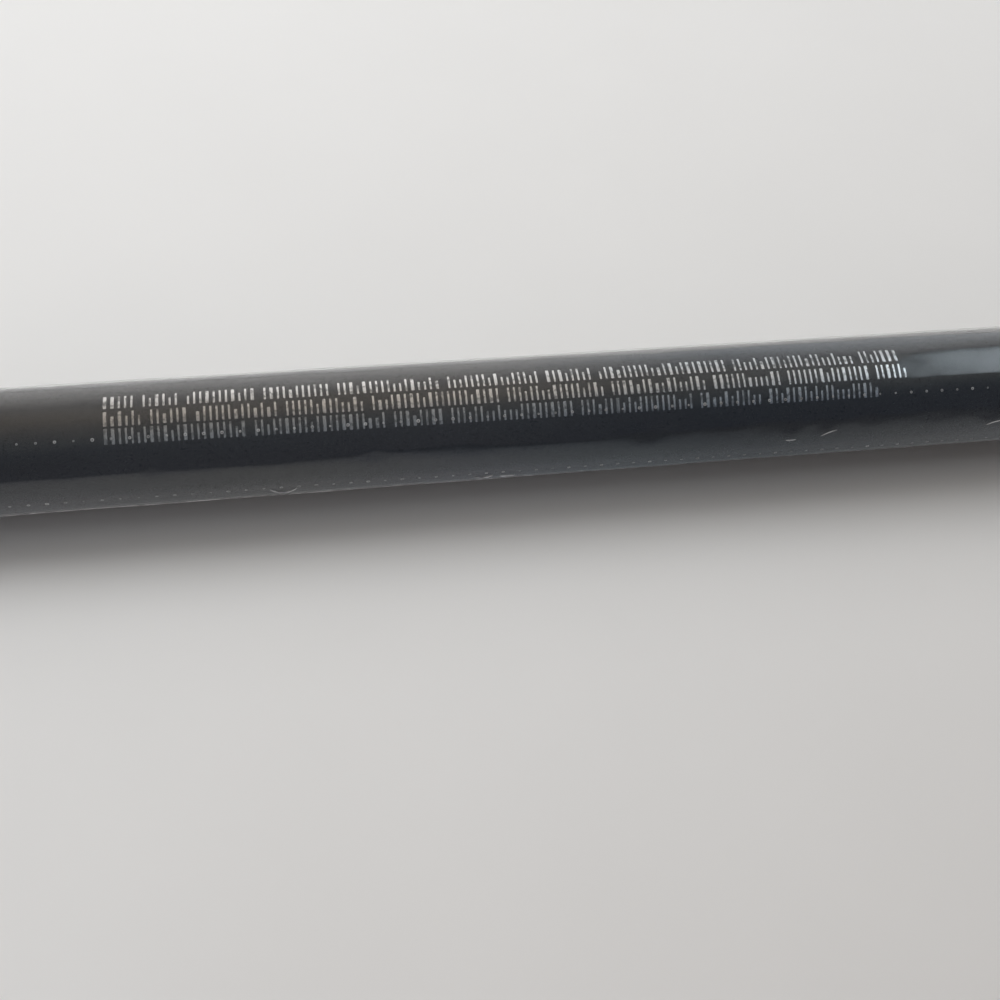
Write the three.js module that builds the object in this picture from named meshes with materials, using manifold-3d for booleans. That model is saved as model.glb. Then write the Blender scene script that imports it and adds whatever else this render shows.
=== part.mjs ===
// Twist-up eyeliner pencil in clear shrink film, lying on its side.
// Millimetres, +Z up. The pencil lies along X, tail at -X and cap at +X, and rests on Z = 0.
// Stations along the pencil are distances from the tail's end face.

import * as THREE from 'three';
import { mergeVertices } from 'three/addons/utils/BufferGeometryUtils.js';
import Module from 'manifold-3d';

// Flats around every round piece: an even number of them lets the pencil lie on one
const FACETS = 24;
const PIN_FACETS = 12;
const ROUND_STEPS = 4;

// Lead and the tubes around it, from the middle outwards
const LEAD_RADIUS = 1.3;
const CARRIER_WALL = 0.25;
const GUIDE_WALL = 0.6;
const GROOVE_DEPTH = 0.45;
const SPIRAL_WALL = 0.3;
const BARREL_WALL = 0.6;
const FILM_WALL = 0.08;

// Clearances between pieces
const PRESS_GAP = 0.05;
const TURN_GAP = 0.1;
const TUBE_GAP = 0.15;
const END_GAP = 0.3;

// Casing
const KNOB_LENGTH = 22;
const KNOB_WEB = 2;
const BARREL_LENGTH = 77.7;
const EDGE_CHAMFER = 0.15;
const PLUG_DEPTH = 4;
const PLUG_WALL = 0.6;
const PLUG_FACE = 1;

// Cap
const CAP_STEP = 0.1;
const CAP_WALL = 0.6;
const CAP_END_WALL = 1.4;
const CAP_ROUND = 1.2;
const CAP_TIP_ROOM = 1.1;
const LINER_WALL = 0.3;
const LINER_LENGTH = 11.4;

// Film
const FILM_TAIL_MARGIN = 2.7;
const FILM_LAP_ANGLE = Math.PI / 3;

// Nozzle
const INSERT_LENGTH = 8;
const SEAT_DEPTH = 4.3;
const FLANGE_LENGTH = 0.8;
const FLANGE_STEP = 0.2;
const NECK_LENGTH = 7.15;
const BEAD_HEIGHT = 0.04;
const BEAD_LENGTH = 1;
const CONE_LENGTH = 10;
const MOUTH_WALL = 0.5;
const MOUTH_GAP = 0.2;

// Twist mechanism
const LEAD_TRAVEL = 24;
const HELIX_PITCH = 6;
const PIN_RADIUS = 0.45;
const PIN_SPARE = 0.2;
const PIN_LAND = 1.5;
const SLOT_LAND = 5;
const SLOT_STOP = 1.5;
const GUIDE_FLANGE_STEP = 0.3;
const GUIDE_FLANGE_LENGTH = 3;
const CARRIER_SHANK = 14;
const CUP_DEPTH = 8;
const TIP_RECESS = 0.5;
const TIP_LENGTH = 2.4;
const TIP_RADIUS = 0.4;
const GROOVE_SPARE = 0.2;
const SPIRAL_WEB = 3;
const CORE_WALL = 1.2;
const DRIVE_FLAT_DEPTH = 0.5;
const RING_LENGTH = 4;
const RING_STEP = 0.35;
const BRAKE_SECTION = 0.3;
const BRAKE_STATION = 5;
const BRAKE_SIDES = 8;

// Radii, worked out from the lead outwards
const cupRadius = LEAD_RADIUS + PRESS_GAP;
const carrierRadius = cupRadius + CARRIER_WALL;
const guideBore = carrierRadius + TURN_GAP;
const guideRadius = guideBore + GUIDE_WALL;
const spiralBore = guideRadius + TURN_GAP;
const grooveRadius = spiralBore + GROOVE_DEPTH;
const spiralRadius = grooveRadius + SPIRAL_WALL;
const barrelBore = spiralRadius + TUBE_GAP;
const barrelRadius = barrelBore + BARREL_WALL;
const insertRadius = barrelBore - PRESS_GAP;
const stubRadius = spiralRadius - RING_STEP;
const capRadius = barrelRadius - CAP_STEP;
const capBore = capRadius - CAP_WALL;
const linerRadius = capBore - PRESS_GAP;
const linerBore = linerRadius - LINER_WALL;
const neckRadius = linerBore - TURN_GAP;
const flangeRadius = barrelRadius - FLANGE_STEP;
const guideFlangeRadius = guideRadius + GUIDE_FLANGE_STEP;
const nozzleBore = carrierRadius + MOUTH_GAP;
const mouthBore = LEAD_RADIUS + MOUTH_GAP;
const filmRadius = barrelRadius + PRESS_GAP + FILM_WALL;
const axisHeight = filmRadius * Math.cos(Math.PI / FACETS);

// Stations, worked out from the tail forwards
const barrelRear = KNOB_LENGTH + END_GAP;
const barrelFront = barrelRear + BARREL_LENGTH;
const flangeRear = barrelFront + PRESS_GAP;
const flangeFront = flangeRear + FLANGE_LENGTH;
const neckFront = flangeFront + NECK_LENGTH;
const mouth = neckFront + CONE_LENGTH;
const insertRear = barrelFront - INSERT_LENGTH;
const guideSeat = insertRear + SEAT_DEPTH;
const guideFront = guideSeat - PRESS_GAP;
const slotFront = guideFront - GUIDE_FLANGE_LENGTH - SLOT_LAND;
const frontPin = slotFront - SLOT_STOP - PIN_RADIUS - LEAD_TRAVEL;
const rearPin = frontPin - HELIX_PITCH / 2;
const carrierRear = rearPin - PIN_LAND;
const guideRear = carrierRear - END_GAP;
const spiralFloor = guideRear - END_GAP;
const spiralFront = insertRear - END_GAP;
const ringFront = barrelRear + RING_LENGTH;
const shoulder = ringFront + END_GAP;
const cupFloor = frontPin + CARRIER_SHANK;
const carrierFront = cupFloor + CUP_DEPTH;
const leadTip = mouth - TIP_RECESS;
const nozzleBoreFront = carrierFront + LEAD_TRAVEL + END_GAP;
const capRear = flangeFront + END_GAP;
const capHollowEnd = leadTip + LEAD_TRAVEL + CAP_TIP_ROOM;
const capEnd = capHollowEnd + CAP_END_WALL;
const pocketFloor = PLUG_DEPTH + PRESS_GAP + KNOB_WEB;

const wasm = await Module();
wasm.setup();

// A round piece about the pencil's axis. Each profile point is [radius, station].
function turned(profile) {
  const points = profile.map(([radius, station]) => new THREE.Vector2(radius, station));
  const lathe = new THREE.LatheGeometry(points, FACETS, Math.PI / FACETS);
  return lathe.rotateZ(-Math.PI / 2);
}

// A round piece with a hole right through: its profile closes on itself.
function turnedRing(profile) {
  return turned([...profile, profile[0]]);
}

// A box between two stations, centred on the axis.
function centredBox(rear, front, width, height) {
  const box = new THREE.BoxGeometry(front - rear, width, height);
  return box.translate((rear + front) / 2, 0, 0);
}

// A geometry as a solid that can be cut and joined.
function solidOf(geometry) {
  const bare = geometry.clone();
  bare.deleteAttribute('normal');
  bare.deleteAttribute('uv');
  const merged = mergeVertices(bare);
  const corners = merged.index.array;
  const triangles = [];
  for (let first = 0; first < corners.length; first += 3) {
    const [a, b, c] = corners.slice(first, first + 3);
    if (a !== b && b !== c && c !== a) triangles.push(a, b, c);
  }
  return new wasm.Manifold(new wasm.Mesh({
    numProp: 3,
    vertProperties: new Float32Array(merged.attributes.position.array),
    triVerts: new Uint32Array(triangles),
  }));
}

// A cut or joined solid as a geometry again.
function geometryOf(solid) {
  const mesh = solid.getMesh();
  const geometry = new THREE.BufferGeometry();
  geometry.setAttribute('position', new THREE.BufferAttribute(mesh.vertProperties, 3));
  geometry.setIndex(new THREE.BufferAttribute(mesh.triVerts, 1));
  geometry.computeVertexNormals();
  return geometry;
}

// A left-handed square bar about the axis, centred on +Y at the front pin: turning it by the right-hand rule
// about +X drives a pin in its track forwards.
function helicalBar(innerRadius, outerRadius, width, rear, front) {
  const steps = Math.ceil(((front - rear) / HELIX_PITCH) * FACETS);
  const positions = [];
  const indices = [];
  for (let step = 0; step <= steps; step += 1) {
    const station = rear + ((front - rear) * step) / steps;
    const angle = (-2 * Math.PI * (station - frontPin)) / HELIX_PITCH;
    const section = [
      [innerRadius, -width / 2],
      [outerRadius, -width / 2],
      [outerRadius, width / 2],
      [innerRadius, width / 2],
    ];
    for (const [radius, offset] of section) {
      positions.push(station + offset, radius * Math.cos(angle), radius * Math.sin(angle));
    }
  }
  for (let step = 0; step < steps; step += 1) {
    for (let side = 0; side < 4; side += 1) {
      const here = step * 4 + side;
      const next = step * 4 + ((side + 1) % 4);
      indices.push(here, next, here + 4, next, next + 4, here + 4);
    }
  }
  const last = steps * 4;
  indices.push(0, 2, 1, 0, 3, 2);
  indices.push(last, last + 1, last + 2, last, last + 2, last + 3);
  const geometry = new THREE.BufferGeometry();
  geometry.setAttribute('position', new THREE.Float32BufferAttribute(positions, 3));
  geometry.setIndex(indices);
  return geometry;
}

// Points of the cap's rounded shoulder at a distance off its surface, from the side towards the end.
function capShoulder(offset, sweep) {
  const points = [];
  for (let step = 0; step <= ROUND_STEPS; step += 1) {
    const angle = (sweep * step) / ROUND_STEPS;
    const radius = capRadius - CAP_ROUND + (CAP_ROUND + offset) * Math.cos(angle);
    const station = capEnd - CAP_ROUND + (CAP_ROUND + offset) * Math.sin(angle);
    points.push([radius, station]);
  }
  return points;
}

function barrelGeometry() {
  return turnedRing([
    [barrelBore, barrelRear],
    [barrelRadius - EDGE_CHAMFER, barrelRear],
    [barrelRadius, barrelRear + EDGE_CHAMFER],
    [barrelRadius, barrelFront - EDGE_CHAMFER],
    [barrelRadius - EDGE_CHAMFER, barrelFront],
    [barrelBore, barrelFront],
  ]);
}

function barrelFilmGeometry() {
  const inner = filmRadius - FILM_WALL;
  const rear = barrelRear + FILM_TAIL_MARGIN;
  return turnedRing([
    [inner, rear],
    [filmRadius, rear],
    [filmRadius, barrelFront],
    [inner, barrelFront],
  ]);
}

function retainingRingGeometry() {
  const rear = barrelRear + EDGE_CHAMFER;
  const bore = stubRadius + TURN_GAP;
  return turnedRing([
    [bore, rear],
    [insertRadius, rear],
    [insertRadius, ringFront],
    [bore, ringFront],
  ]);
}

function nozzleGeometry() {
  const seatRadius = guideFlangeRadius + PRESS_GAP;
  const beadMiddle = (flangeFront + neckFront) / 2;
  return turnedRing([
    [seatRadius, insertRear],
    [insertRadius, insertRear],
    [insertRadius, flangeRear],
    [flangeRadius, flangeRear],
    [flangeRadius, flangeFront],
    [neckRadius, flangeFront],
    [neckRadius, beadMiddle - BEAD_LENGTH / 2],
    [neckRadius + BEAD_HEIGHT, beadMiddle],
    [neckRadius, beadMiddle + BEAD_LENGTH / 2],
    [neckRadius, neckFront],
    [mouthBore + MOUTH_WALL, mouth],
    [mouthBore, mouth],
    [mouthBore, nozzleBoreFront + nozzleBore - mouthBore],
    [nozzleBore, nozzleBoreFront],
    [nozzleBore, guideSeat],
    [seatRadius, guideSeat],
  ]);
}

function guideTubeGeometry() {
  const flangeStart = guideFront - GUIDE_FLANGE_LENGTH;
  const tube = turnedRing([
    [guideBore, guideRear],
    [guideRadius, guideRear],
    [guideRadius, flangeStart],
    [guideFlangeRadius, flangeStart],
    [guideFlangeRadius, guideFront],
    [guideBore, guideFront],
  ]);
  const slotWidth = 2 * (PIN_RADIUS + TUBE_GAP);
  const slots = centredBox(guideRear - END_GAP, slotFront, 4 * guideRadius, slotWidth);
  return geometryOf(solidOf(tube).subtract(solidOf(slots)));
}

function leadCarrierGeometry() {
  const rod = turned([
    [0, carrierRear],
    [carrierRadius, carrierRear],
    [carrierRadius, carrierFront],
    [cupRadius, carrierFront],
    [cupRadius, cupFloor],
    [0, cupFloor],
  ]);
  const reach = grooveRadius - PIN_SPARE;
  let carrier = solidOf(rod);
  for (const [station, side] of [[frontPin, 1], [rearPin, -1]]) {
    const pin = new THREE.CylinderGeometry(PIN_RADIUS, PIN_RADIUS, reach, PIN_FACETS);
    pin.translate(station, (side * reach) / 2, 0);
    carrier = carrier.add(solidOf(pin));
  }
  return geometryOf(carrier);
}

function leadGeometry() {
  const rear = cupFloor + PRESS_GAP;
  return turned([
    [0, rear],
    [LEAD_RADIUS, rear],
    [LEAD_RADIUS, leadTip - TIP_LENGTH],
    [TIP_RADIUS, leadTip],
    [0, leadTip],
  ]);
}

function spiralTubeGeometry() {
  const stubRear = pocketFloor + END_GAP;
  const coreRadius = stubRadius - CORE_WALL;
  const coreFront = spiralFloor - SPIRAL_WEB;
  const brakeRear = shoulder + BRAKE_STATION - BRAKE_SECTION - PRESS_GAP;
  const brakeFront = shoulder + BRAKE_STATION + BRAKE_SECTION + PRESS_GAP;
  const brakeFloor = brakeRadius() - BRAKE_SECTION - PRESS_GAP;
  const blank = turned([
    [0, coreFront],
    [coreRadius, coreFront],
    [coreRadius, stubRear],
    [stubRadius, stubRear],
    [stubRadius, shoulder],
    [spiralRadius, shoulder],
    [spiralRadius, brakeRear],
    [brakeFloor, brakeRear],
    [brakeFloor, brakeFront],
    [spiralRadius, brakeFront],
    [spiralRadius, spiralFront],
    [spiralBore, spiralFront],
    [spiralBore, spiralFloor],
    [0, spiralFloor],
  ]);
  const grooveWidth = 2 * (PIN_RADIUS / Math.cos(Math.PI / 4) + GROOVE_SPARE);
  const groove = helicalBar(
    guideRadius,
    grooveRadius,
    grooveWidth,
    rearPin - END_GAP,
    spiralFront + HELIX_PITCH / 2,
  );
  let tube = solidOf(blank).subtract(solidOf(groove));
  for (const side of [1, -1]) {
    const flat = centredBox(stubRear - END_GAP, barrelRear, 4 * stubRadius, stubRadius);
    flat.translate(0, 0, side * (1.5 * stubRadius - DRIVE_FLAT_DEPTH));
    tube = tube.subtract(solidOf(flat));
  }
  return geometryOf(tube);
}

// Radius of the middle of the brake ring's section, which all but touches the barrel's bore.
function brakeRadius() {
  return barrelBore - PRESS_GAP - BRAKE_SECTION;
}

function brakeRingGeometry() {
  const profile = [];
  for (let side = 0; side < BRAKE_SIDES; side += 1) {
    const angle = (-2 * Math.PI * side) / BRAKE_SIDES;
    const radius = brakeRadius() - BRAKE_SECTION * Math.cos(angle);
    profile.push([radius, shoulder + BRAKE_STATION + BRAKE_SECTION * Math.sin(angle)]);
  }
  return turnedRing(profile);
}

function twistKnobGeometry() {
  const plugFloor = PLUG_DEPTH + PRESS_GAP;
  const plugBore = insertRadius + PRESS_GAP;
  const blank = turned([
    [0, plugFloor],
    [plugBore, plugFloor],
    [plugBore, 0],
    [barrelRadius - EDGE_CHAMFER, 0],
    [barrelRadius, EDGE_CHAMFER],
    [barrelRadius, KNOB_LENGTH - EDGE_CHAMFER],
    [barrelRadius - EDGE_CHAMFER, KNOB_LENGTH],
    [0, KNOB_LENGTH],
  ]);
  const pocketRadius = stubRadius + PRESS_GAP;
  const pocketFront = KNOB_LENGTH + END_GAP;
  const round = turned([
    [0, pocketFloor],
    [pocketRadius, pocketFloor],
    [pocketRadius, pocketFront],
    [0, pocketFront],
  ]);
  const flatsApart = 2 * (stubRadius - DRIVE_FLAT_DEPTH + PRESS_GAP);
  const flats = centredBox(pocketFloor - END_GAP, pocketFront + END_GAP, 4 * pocketRadius, flatsApart);
  const pocket = solidOf(round).intersect(solidOf(flats));
  return geometryOf(solidOf(blank).subtract(pocket));
}

function endPlugGeometry() {
  return turned([
    [0, 0],
    [insertRadius, 0],
    [insertRadius, PLUG_DEPTH],
    [insertRadius - PLUG_WALL, PLUG_DEPTH],
    [insertRadius - PLUG_WALL, PLUG_FACE],
    [0, PLUG_FACE],
  ]);
}

function capShellGeometry() {
  return turned([
    [0, capHollowEnd],
    [capBore, capHollowEnd],
    [capBore, capRear],
    [capRadius - EDGE_CHAMFER, capRear],
    [capRadius, capRear + EDGE_CHAMFER],
    ...capShoulder(0, Math.PI / 2),
    [0, capEnd],
  ]);
}

function capLinerGeometry() {
  const rear = capRear + END_GAP;
  return turnedRing([
    [linerBore, rear],
    [linerRadius, rear],
    [linerRadius, rear + LINER_LENGTH],
    [linerBore, rear + LINER_LENGTH],
  ]);
}

function capFilmGeometry() {
  const inner = capShoulder(PRESS_GAP, FILM_LAP_ANGLE);
  const outer = capShoulder(PRESS_GAP + FILM_WALL, FILM_LAP_ANGLE);
  return turnedRing([
    [capRadius + PRESS_GAP, capRear],
    [capRadius + PRESS_GAP + FILM_WALL, capRear],
    ...outer,
    ...inner.reverse(),
  ]);
}

function plastic(color, roughness) {
  return new THREE.MeshStandardMaterial({ color, roughness, metalness: 0 });
}

function clearFilm() {
  const film = plastic(0xf2f5f7, 0.08);
  film.transparent = true;
  film.opacity = 0.22;
  return film;
}

const pieces = [
  ['barrel', barrelGeometry(), plastic(0x1e1f22, 0.35)],
  ['barrel_film', barrelFilmGeometry(), clearFilm()],
  ['retaining_ring', retainingRingGeometry(), plastic(0xd9d8d2, 0.5)],
  ['nozzle', nozzleGeometry(), plastic(0x232427, 0.4)],
  ['guide_tube', guideTubeGeometry(), plastic(0xd9d8d2, 0.5)],
  ['twist_knob', twistKnobGeometry(), plastic(0x1e1f22, 0.35)],
  ['end_plug', endPlugGeometry(), plastic(0x2a2725, 0.5)],
  ['spiral_tube', spiralTubeGeometry(), plastic(0xc9c8c2, 0.5)],
  ['brake_ring', brakeRingGeometry(), plastic(0x2b2b2b, 0.8)],
  ['lead_carrier', leadCarrierGeometry(), plastic(0xe4e2da, 0.5)],
  ['lead', leadGeometry(), plastic(0x16151a, 0.55)],
  ['cap_shell', capShellGeometry(), plastic(0x1e1f22, 0.3)],
  ['cap_liner', capLinerGeometry(), plastic(0xdcdbd5, 0.5)],
  ['cap_film', capFilmGeometry(), clearFilm()],
];

const pencil = new THREE.Group();
for (const [name, geometry, material] of pieces) {
  const mesh = new THREE.Mesh(geometry, material);
  mesh.name = name;
  pencil.add(mesh);
}
pencil.position.set(-capEnd / 2, 0, axisHeight);

export default pencil;
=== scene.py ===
"""Looks of a twist-up eyeliner pencil in clear shrink film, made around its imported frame.

Lengths are millimetres, and become metres where a mesh is made, unless a name says otherwise.
A place on the pencil is a station, counted from the tail's end face, and an angle round the centre line,
counted in degrees from the side that faces the camera, up over the top and down the far side.
"""

from __future__ import annotations

import functools
import logging
import math
import random
from collections.abc import Callable, Mapping, Sequence
from dataclasses import dataclass
from enum import Enum
from typing import Any

import bpy
import numpy as np
from mathutils import Matrix, Vector, noise

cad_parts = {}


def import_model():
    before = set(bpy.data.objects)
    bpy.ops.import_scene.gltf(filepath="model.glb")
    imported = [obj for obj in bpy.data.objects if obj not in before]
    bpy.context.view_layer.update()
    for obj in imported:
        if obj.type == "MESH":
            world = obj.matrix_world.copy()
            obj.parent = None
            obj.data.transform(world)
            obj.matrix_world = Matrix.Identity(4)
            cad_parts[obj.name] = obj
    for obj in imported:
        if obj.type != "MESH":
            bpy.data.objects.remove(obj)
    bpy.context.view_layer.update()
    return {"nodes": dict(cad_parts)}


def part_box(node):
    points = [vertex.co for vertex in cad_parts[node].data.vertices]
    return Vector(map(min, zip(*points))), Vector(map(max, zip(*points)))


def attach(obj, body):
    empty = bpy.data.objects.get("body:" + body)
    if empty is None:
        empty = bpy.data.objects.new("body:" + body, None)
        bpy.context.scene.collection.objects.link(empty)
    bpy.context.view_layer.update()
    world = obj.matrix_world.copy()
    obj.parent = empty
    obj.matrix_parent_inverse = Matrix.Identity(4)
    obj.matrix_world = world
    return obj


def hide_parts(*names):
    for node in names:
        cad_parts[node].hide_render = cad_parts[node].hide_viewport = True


LOG = logging.getLogger("eyeliner")
MM = 0.001
SEGMENTS = 128
ARC_STEPS = 5
SHARP_ANGLE = math.radians(32.0)
ON_AXIS = 1e-6

Colour = tuple[float, float, float]
Stops = Sequence[tuple[float, Colour]]
Socket = bpy.types.NodeSocket

NEAR_BLACK: Colour = (0.0125, 0.0128, 0.0142)


@dataclass(frozen=True)
class Axis:
    """The pencil's centre line in the frame, in metres.

    tail is the X of the tail's end face, and height is the Z of the centre line.
    """

    tail: float
    height: float

    def point(self, station: float, radius: float, angle: float) -> Vector:
        """The point at a station, a radius and an angle, in metres."""
        across, up = math.cos(math.radians(angle)), math.sin(math.radians(angle))
        return Vector((self.tail + station * MM, -radius * MM * across, self.height + radius * MM * up))

    def flat(self, station: float, angle: float, radius: float, lift: float = 0.0) -> Vector:
        """The same point with the surface of that radius unrolled: along, around and off it, in metres."""
        return Vector((self.tail + station * MM, math.radians(angle) * radius * MM, lift * MM))


@dataclass(frozen=True)
class Span:
    """Where a CAD node lies along the centre line, and the circle that fits inside its flats."""

    rear: float
    front: float
    radius: float

    @classmethod
    def of(cls, node: str, axis: Axis) -> Span:
        """Read a node's span from the frame.

        Args:
            node: Name of the CAD node.
            axis: The pencil's centre line.

        Returns:
            The node's stations and radius.
        """
        low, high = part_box(node)
        return cls((low.x - axis.tail) / MM, (high.x - axis.tail) / MM, (high.z - low.z) / 2 / MM)


class NodeBuilder:
    """Adds nodes to one node tree and links them."""

    def __init__(self, tree: bpy.types.NodeTree) -> None:
        """Start on an existing tree."""
        self.tree = tree

    def feed(self, socket: Socket, value: Any) -> None:
        """Link a socket to an output, or set its value.

        Args:
            socket: Input socket of a node.
            value: Output to link, or the value.
        """
        if isinstance(value, bpy.types.NodeSocket):
            self.tree.links.new(value, socket)
        else:
            socket.default_value = value

    def add(self, kind: str, inputs: Mapping[Any, Any] | None = None, **settings: Any) -> bpy.types.Node:
        """Add a node.

        Args:
            kind: Blender's name of the node type.
            inputs: Values or outputs for its input sockets, by name or index.
            settings: Properties of the node.

        Returns:
            The new node.
        """
        node = self.tree.nodes.new(kind)
        for key, value in settings.items():
            setattr(node, key, value)
        for key, value in (inputs or {}).items():
            in_use = [socket for socket in node.inputs if socket.enabled and socket.name == key]
            self.feed(in_use[0] if in_use else node.inputs[key], value)
        return node

    def math(self, operation: str, first: Any, second: Any = 0.0) -> Socket:
        """The output of a Math node."""
        return self.add("ShaderNodeMath", {0: first, 1: second}, operation=operation).outputs[0]

    def ramp(self, factor: Socket, stops: Stops) -> Socket:
        """The colour output of a Color Ramp node.

        Args:
            factor: Output that runs from 0 to 1.
            stops: Positions with their colours, in order.

        Returns:
            The ramp's colour.
        """
        node = self.add("ShaderNodeValToRGB", {"Fac": factor})
        elements = node.color_ramp.elements
        while len(elements) < len(stops):
            elements.new(1.0)
        for element, (position, colour) in zip(elements, stops):
            element.position = position
            element.color = (*colour, 1.0)
        return node.outputs["Color"]

    def scale(self, value: Socket, stops: Stops, unit: float = 1.0) -> Socket:
        """A colour that follows a value, with stops in the value's own measure.

        Args:
            value: Output to follow.
            stops: Values with their colours, in order.
            unit: Size of the stops' unit in the value.

        Returns:
            The colour, held beyond the first and the last stop.
        """
        first, last = stops[0][0], stops[-1][0]
        inputs = {"Value": value, "From Min": first * unit, "From Max": last * unit}
        share = self.add("ShaderNodeMapRange", inputs).outputs["Result"]
        return self.ramp(share, [((stop - first) / (last - first), colour) for stop, colour in stops])

    def product(self, first: Socket, second: Socket) -> Socket:
        """Two colours multiplied."""
        node = self.add("ShaderNodeVectorMath", {0: first, 1: second}, operation="MULTIPLY")
        return node.outputs["Vector"]


class Shader(NodeBuilder):
    """A material's nodes, with the patterns that the finishes share, on Object coordinates.

    Most of a noise pattern lies within USUAL.
    """

    USUAL = (0.3, 0.7)

    def __init__(self, name: str) -> None:
        """Make an empty material with an output node.

        Args:
            name: Name of the material.
        """
        self.material = bpy.data.materials.new(name)
        self.material.use_nodes = True
        super().__init__(self.material.node_tree)
        self.tree.nodes.clear()
        self.output = self.add("ShaderNodeOutputMaterial")
        self.coordinates = self.add("ShaderNodeTexCoord").outputs["Object"]

    def speckle(self, size: float, detail: float = 3.0, stretch: float = 1.0) -> Socket:
        """A noise pattern.

        Args:
            size: Size of its blotches.
            detail: Octaves of finer noise.
            stretch: How much longer the blotches are along the pencil.

        Returns:
            The noise, from 0 to 1.
        """
        scale = Vector((1 / stretch, 1.0, 1.0))
        mapped = self.add("ShaderNodeMapping", {"Vector": self.coordinates, "Scale": scale})
        inputs = {"Vector": mapped.outputs["Vector"], "Scale": 1 / (size * MM), "Detail": detail}
        return self.add("ShaderNodeTexNoise", inputs).outputs["Fac"]

    def range(self, factor: Socket, low: float, high: float) -> Socket:
        """Spread a pattern's usual range over another.

        Args:
            factor: The pattern.
            low: Value at the range's lower end.
            high: Value at its upper end.

        Returns:
            The value.
        """
        least, most = self.USUAL
        inputs = {"Value": factor, "From Min": least, "From Max": most, "To Min": low, "To Max": high}
        return self.add("ShaderNodeMapRange", inputs).outputs["Result"]

    def around(self, factor: Socket, middle: float, share: float) -> Socket:
        """A value that a pattern moves by a share of it to both sides."""
        return self.range(factor, middle * (1 - share), middle * (1 + share))

    def blend(
        self, factor: Socket, first: Colour, second: Colour, ends: tuple[float, float] = USUAL
    ) -> Socket:
        """A colour that goes from one to another between two values of a pattern."""
        return self.ramp(factor, ((ends[0], first), (ends[1], second)))

    def bump(self, height: Socket, depth: float) -> Socket:
        """A normal that is roughened by a pattern of a given depth."""
        inputs = {"Height": height, "Distance": depth * MM, "Strength": 1.0}
        return self.add("ShaderNodeBump", inputs).outputs["Normal"]

    def surface(self, **inputs: Any) -> bpy.types.Node:
        """A Principled BSDF; underscores in the names stand for spaces."""
        named = {key.replace("_", " "): value for key, value in inputs.items()}
        return self.add("ShaderNodeBsdfPrincipled", named)

    def finish(self, shader: Socket) -> bpy.types.Material:
        """Link the last shader to the output and hand over the material."""
        self.feed(self.output.inputs["Surface"], shader)
        return self.material


def grey(level: float) -> Colour:
    """A neutral colour."""
    return (level, level, level)


def scaled(colour: Colour, factor: float) -> Colour:
    """A colour made lighter or darker."""
    return (colour[0] * factor, colour[1] * factor, colour[2] * factor)


@dataclass(frozen=True)
class MouldedPlastic:
    """Moulded or lacquered plastic with a faint mottle, uneven gloss and a fine grain."""

    name: str
    colour: Colour
    roughness: float
    grain: float = 0.12
    grain_depth: float = 0.004
    cloud: float = 2.5
    cloud_stretch: float = 3.0
    mottle: float = 0.15
    unevenness: float = 0.15
    gloss: float = 0.5
    coat: float = 0.0
    coat_roughness: float = 0.06

    def material(self) -> bpy.types.Material:
        """Build the material.

        Returns:
            The material, with its nodes.
        """
        shader = Shader(self.name)
        cloud = shader.speckle(self.cloud, stretch=self.cloud_stretch)
        grain = shader.speckle(self.grain, detail=2.0)
        dark, light = scaled(self.colour, 1 - self.mottle), scaled(self.colour, 1 + self.mottle)
        surface = shader.surface(
            Base_Color=shader.blend(cloud, dark, light),
            Roughness=shader.around(grain, self.roughness, self.unevenness),
            Specular_IOR_Level=self.gloss,
            Coat_Weight=self.coat,
            Coat_Roughness=self.coat_roughness,
            Normal=shader.bump(grain, self.grain_depth),
        )
        return shader.finish(surface.outputs["BSDF"])


@dataclass(frozen=True)
class ClearFilm:
    """Clear shrink film: smooth glass-like plastic that lets light through to what it wraps."""

    name: str
    roughness: float = 0.04
    index: float = 1.45
    tint: Colour = (0.97, 0.98, 0.985)

    def material(self) -> bpy.types.Material:
        """Build the material.

        Returns:
            The material, with its nodes.
        """
        shader = Shader(self.name)
        film = shader.surface(
            Base_Color=(*self.tint, 1.0),
            Roughness=self.roughness,
            IOR=self.index,
            Transmission_Weight=1.0,
        )
        clear = shader.add("ShaderNodeBsdfTransparent", {"Color": (*self.tint, 1.0)})
        path = shader.add("ShaderNodeLightPath")
        mix = shader.add(
            "ShaderNodeMixShader",
            {0: path.outputs["Is Shadow Ray"], 1: film.outputs["BSDF"], 2: clear.outputs["BSDF"]},
        )
        return shader.finish(mix.outputs["Shader"])


@dataclass(frozen=True)
class StressedFilm:
    """Film that has been melted or folded, so that it is milky and catches the light."""

    name: str
    colour: Colour
    roughness: float
    glint: float = 0.0
    gloss: float = 0.7
    cloud: float = 0.9
    cloud_ends: tuple[float, float] = (0.35, 0.65)
    clearer: float = 0.45

    def material(self) -> bpy.types.Material:
        """Build the material.

        Returns:
            The material, with its nodes.
        """
        shader = Shader(self.name)
        cloud = shader.speckle(self.cloud)
        surface = shader.surface(
            Base_Color=shader.blend(cloud, scaled(self.colour, self.clearer), self.colour, self.cloud_ends),
            Metallic=self.glint,
            Roughness=self.roughness,
            Specular_IOR_Level=self.gloss,
        )
        return shader.finish(surface.outputs["BSDF"])


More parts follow.
